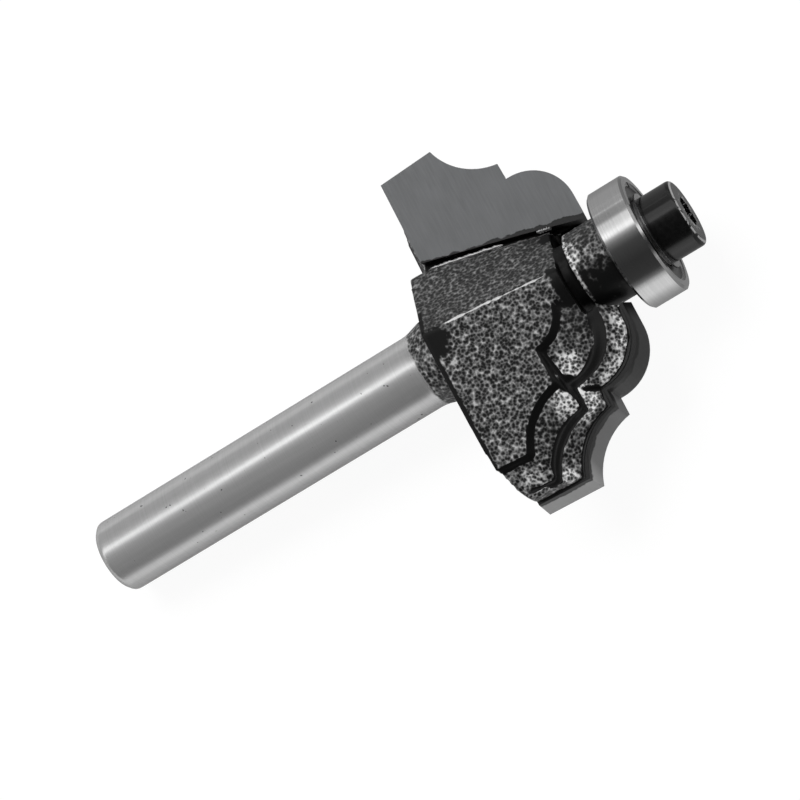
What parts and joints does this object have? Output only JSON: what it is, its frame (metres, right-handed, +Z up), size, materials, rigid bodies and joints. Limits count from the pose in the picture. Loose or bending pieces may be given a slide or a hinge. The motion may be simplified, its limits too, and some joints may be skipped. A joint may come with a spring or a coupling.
{
  "type": "router bit",
  "caption": "Profile router bit with a straight shank, two form-ground carbide wings on a painted head and a ball-bearing pilot held by a socket-head screw.",
  "frame": {"origin": "centre of the bounding box on the surface that the bit lies on", "axes": "+X from the shank towards the bearing, +Z up, away from the surface that the bit lies on; the bit's own axis rises by 2.75 degrees towards +X"},
  "size_m": [0.0704, 0.039, 0.0136],
  "materials": {
    "bit_body": "black speckled paint on the head, bright ground shank",
    "carbide_tip_a": "ground cemented carbide",
    "carbide_tip_b": "ground cemented carbide",
    "braze_a": "bright brazing alloy",
    "braze_b": "bright brazing alloy",
    "pilot_screw": "glossy black oxide",
    "screw_washer": "bright",
    "bearing_outer_ring": "polished bearing steel",
    "bearing_inner_ring": "polished bearing steel",
    "bearing_shield_rear": "pressed sheet steel",
    "bearing_shield_front": "pressed sheet steel",
    "shield_ring_rear": "spring steel",
    "shield_ring_front": "spring steel",
    "ball_cage": "pressed brass",
    "ball_1": "polished",
    "ball_2": "polished",
    "ball_3": "polished",
    "ball_4": "polished",
    "ball_5": "polished",
    "ball_6": "polished",
    "ball_7": "polished"
  },
  "bodies": {
    "bit": {"bit_body": "bit_body", "carbide_tip_a": "carbide_tip_a", "carbide_tip_b": "carbide_tip_b", "braze_a": "braze_a", "braze_b": "braze_b", "pilot_screw": "pilot_screw", "screw_washer": "screw_washer", "bearing_inner_ring": "bearing_inner_ring"},
    "bearing_rim": {"bearing_outer_ring": "bearing_outer_ring", "bearing_shield_rear": "bearing_shield_rear", "bearing_shield_front": "bearing_shield_front", "shield_ring_rear": "shield_ring_rear", "shield_ring_front": "shield_ring_front"},
    "cage": {"ball_cage": "ball_cage"},
    "ball_1_body": {"ball_1": "ball_1"},
    "ball_2_body": {"ball_2": "ball_2"},
    "ball_3_body": {"ball_3": "ball_3"},
    "ball_4_body": {"ball_4": "ball_4"},
    "ball_5_body": {"ball_5": "ball_5"},
    "ball_6_body": {"ball_6": "ball_6"},
    "ball_7_body": {"ball_7": "ball_7"}
  },
  "joints": [
    {"name": "rim_spin", "type": "hinge", "parent": "bit", "child": "bearing_rim", "pos_m": [0.0293, 0, 0.00705], "axis": [0.9989, 0, 0.0478], "continuous": true},
    {"name": "cage_spin", "type": "hinge", "parent": "bit", "child": "cage", "pos_m": [0.0293, 0, 0.00705], "axis": [0.9989, 0, 0.0478], "continuous": true},
    {"name": "ball_1_spin", "type": "hinge", "parent": "cage", "child": "ball_1_body", "pos_m": [0.02931, 0.00449, 0.00674], "axis": [0.9989, 0, 0.0478], "continuous": true},
    {"name": "ball_2_spin", "type": "hinge", "parent": "cage", "child": "ball_2_body", "pos_m": [0.02914, 0.00304, 0.01036], "axis": [0.9989, 0, 0.0478], "continuous": true},
    {"name": "ball_3_spin", "type": "hinge", "parent": "cage", "child": "ball_3_body", "pos_m": [0.02909, -0.00069, 0.01149], "axis": [0.9989, 0, 0.0478], "continuous": true},
    {"name": "ball_4_spin", "type": "hinge", "parent": "cage", "child": "ball_4_body", "pos_m": [0.02919, -0.00391, 0.00928], "axis": [0.9989, 0, 0.0478], "continuous": true},
    {"name": "ball_5_spin", "type": "hinge", "parent": "cage", "child": "ball_5_body", "pos_m": [0.02938, -0.00418, 0.00539], "axis": [0.9989, 0, 0.0478], "continuous": true},
    {"name": "ball_6_spin", "type": "hinge", "parent": "cage", "child": "ball_6_body", "pos_m": [0.02951, -0.0013, 0.00275], "axis": [0.9989, 0, 0.0478], "continuous": true},
    {"name": "ball_7_spin", "type": "hinge", "parent": "cage", "child": "ball_7_body", "pos_m": [0.02948, 0.00255, 0.00335], "axis": [0.9989, 0, 0.0478], "continuous": true}
  ],
  "couplings": [
    {"joint": "cage_spin", "follows": "rim_spin", "ratio": 0.61111},
    {"joint": "ball_1_spin", "follows": "rim_spin", "ratio": 2.1389},
    {"joint": "ball_2_spin", "follows": "rim_spin", "ratio": 2.1389},
    {"joint": "ball_3_spin", "follows": "rim_spin", "ratio": 2.1389},
    {"joint": "ball_4_spin", "follows": "rim_spin", "ratio": 2.1389},
    {"joint": "ball_5_spin", "follows": "rim_spin", "ratio": 2.1389},
    {"joint": "ball_6_spin", "follows": "rim_spin", "ratio": 2.1389},
    {"joint": "ball_7_spin", "follows": "rim_spin", "ratio": 2.1389}
  ]
}
